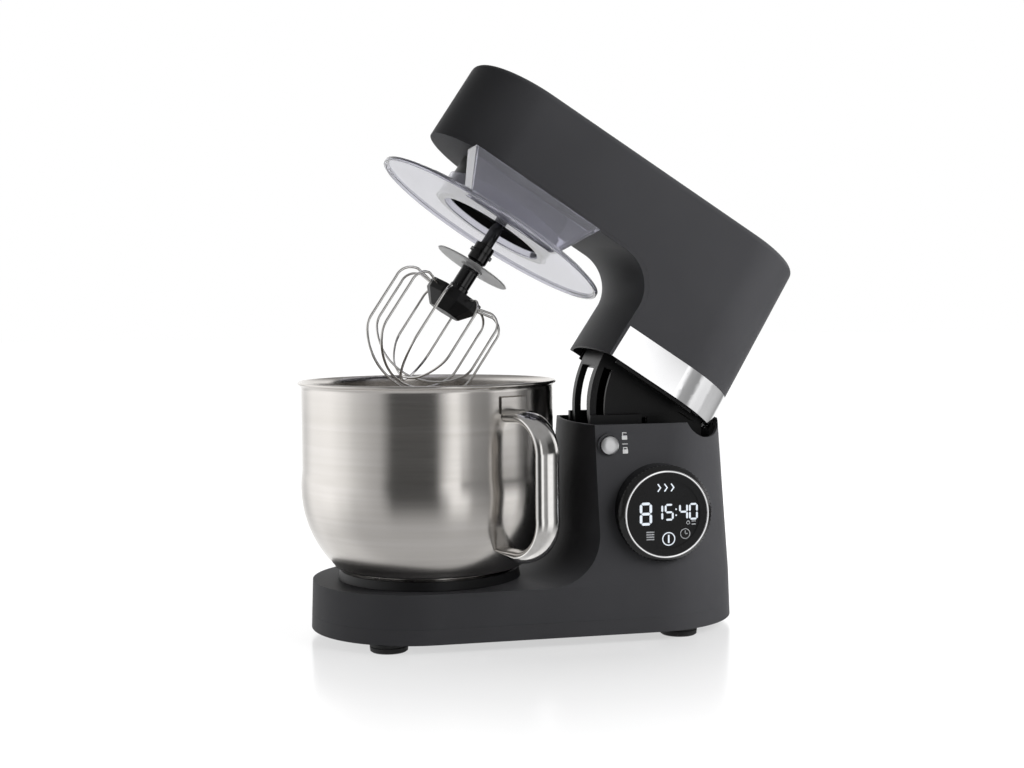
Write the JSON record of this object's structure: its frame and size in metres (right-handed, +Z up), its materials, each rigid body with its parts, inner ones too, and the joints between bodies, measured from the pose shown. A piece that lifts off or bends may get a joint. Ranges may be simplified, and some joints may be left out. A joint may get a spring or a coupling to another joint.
{
  "type": "stand mixer",
  "caption": "Kitchen stand mixer with a tilting head, planetary whisk drive, clear splash guard, steel bowl and a round display dial on the column.",
  "frame": {"origin": "middle of the part over the table it stands on, head open", "axes": "+Z up, -X towards the nose and bowl, -Y towards the display side"},
  "size_m": [0.4553, 0.2574, 0.5043],
  "materials": {
    "soft_black": "fine matte moulded, anthracite",
    "base_black": "moulded black",
    "rubber_black": "matt rubber",
    "belt_rubber": "ribbed rubber",
    "chrome": "mirror bright",
    "button_silver": "satin",
    "brushed_steel": "brushed round the axis",
    "polished_steel": "polished",
    "plain_steel": "plain",
    "gloss_black": "gloss black",
    "board_green": "circuit board",
    "clear_smoke": "clear, slightly smoked",
    "clear_disc": "translucent grey",
    "cast_alloy": "cast",
    "bronze": "sintered",
    "gear_white": "moulded"
  },
  "bodies": {
    "base": {"base_housing": "soft_black", "base_plate": "base_black", "base_screws": "plain_steel", "front_left_foot": "rubber_black", "front_right_foot": "rubber_black", "rear_left_foot": "rubber_black", "rear_right_foot": "rubber_black", "bowl_socket": "base_black", "hinge_carrier": "base_black", "carrier_screws": "plain_steel", "hinge_pin": "plain_steel", "pin_clips": "plain_steel", "button_bezel": "chrome", "latch_spring": "plain_steel", "dial_carrier": "base_black", "display_lens": "gloss_black", "display_board": "board_green", "control_board": "board_green", "cord_gland": "base_black"},
    "release_button": {"button_cap": "button_silver", "latch_bolt": "plain_steel"},
    "speed_dial": {"dial_skirt": "gloss_black", "dial_trim": "chrome"},
    "bowl": {"bowl_shell": "brushed_steel", "bowl_handle": "polished_steel", "bowl_foot": "polished_steel"},
    "head": {"head_shell": "soft_black", "head_underside": "soft_black", "neck_cover": "soft_black", "chrome_band": "chrome", "neck_ring": "base_black", "hinge_yoke": "base_black", "hinge_bushes": "bronze", "motor_stator": "plain_steel", "motor_cradle": "cast_alloy", "motor_bearings": "plain_steel", "drive_belt": "belt_rubber", "gear_plate": "cast_alloy", "shaft_bearings": "plain_steel", "ring_gear": "bronze", "drive_collar": "base_black", "head_screws": "plain_steel", "splash_guard": "clear_smoke"},
    "rotor": {"motor_armature": "plain_steel", "motor_pulley": "cast_alloy", "motor_fan": "gear_white"},
    "countershaft": {"belt_pulley": "cast_alloy", "pinion_shaft": "plain_steel"},
    "planet_drive": {"main_gear": "gear_white", "drive_shaft": "plain_steel", "planet_carrier": "base_black"},
    "tool": {"planet_gear": "gear_white", "tool_shaft": "gloss_black", "tool_pin": "plain_steel", "whisk_sleeve": "gloss_black", "whisk_disc": "clear_disc", "whisk_hub": "gloss_black", "whisk_wires": "polished_steel"}
  },
  "joints": [
    {"name": "head_tilt", "type": "hinge", "parent": "base", "child": "head", "pos_m": [0.13212, 0.01375, 0.197], "axis": [0, 1, 0], "range_deg": [-33.4, 0]},
    {"name": "planet_spin", "type": "hinge", "parent": "head", "child": "planet_drive", "pos_m": [-0.02656, 0.01375, 0.40105], "axis": [0.5505, 0, 0.8348], "continuous": true},
    {"name": "tool_spin", "type": "hinge", "parent": "planet_drive", "child": "tool", "pos_m": [-0.02656, -0.01625, 0.40105], "axis": [0.5505, 0, 0.8348], "continuous": true},
    {"name": "countershaft_spin", "type": "hinge", "parent": "head", "child": "countershaft", "pos_m": [0.01727, 0.01375, 0.37215], "axis": [0.5505, 0, 0.8348], "continuous": true},
    {"name": "motor_spin", "type": "hinge", "parent": "head", "child": "rotor", "pos_m": [0.13206, 0.01375, 0.29646], "axis": [0.5505, 0, 0.8348], "continuous": true},
    {"name": "bowl_twist", "type": "hinge", "parent": "base", "child": "bowl", "pos_m": [-0.11268, 0.01375, 0.0503], "axis": [0, 0, 1], "range_deg": [-34, 0]},
    {"name": "button_press", "type": "slide", "parent": "base", "child": "release_button", "axis": [0, 1, 0], "range_m": [0, 0.004], "stiffness_N_per_m": 400, "deforming": ["latch_spring"]},
    {"name": "dial_turn", "type": "hinge", "parent": "base", "child": "speed_dial", "pos_m": [0.07872, -0.08425, 0.1105], "axis": [0, 1, 0], "continuous": true}
  ],
  "couplings": [
    {"joint": "tool_spin", "follows": "planet_spin", "ratio": -3},
    {"joint": "countershaft_spin", "follows": "planet_spin", "ratio": -4},
    {"joint": "motor_spin", "follows": "planet_spin", "ratio": -16}
  ]
}
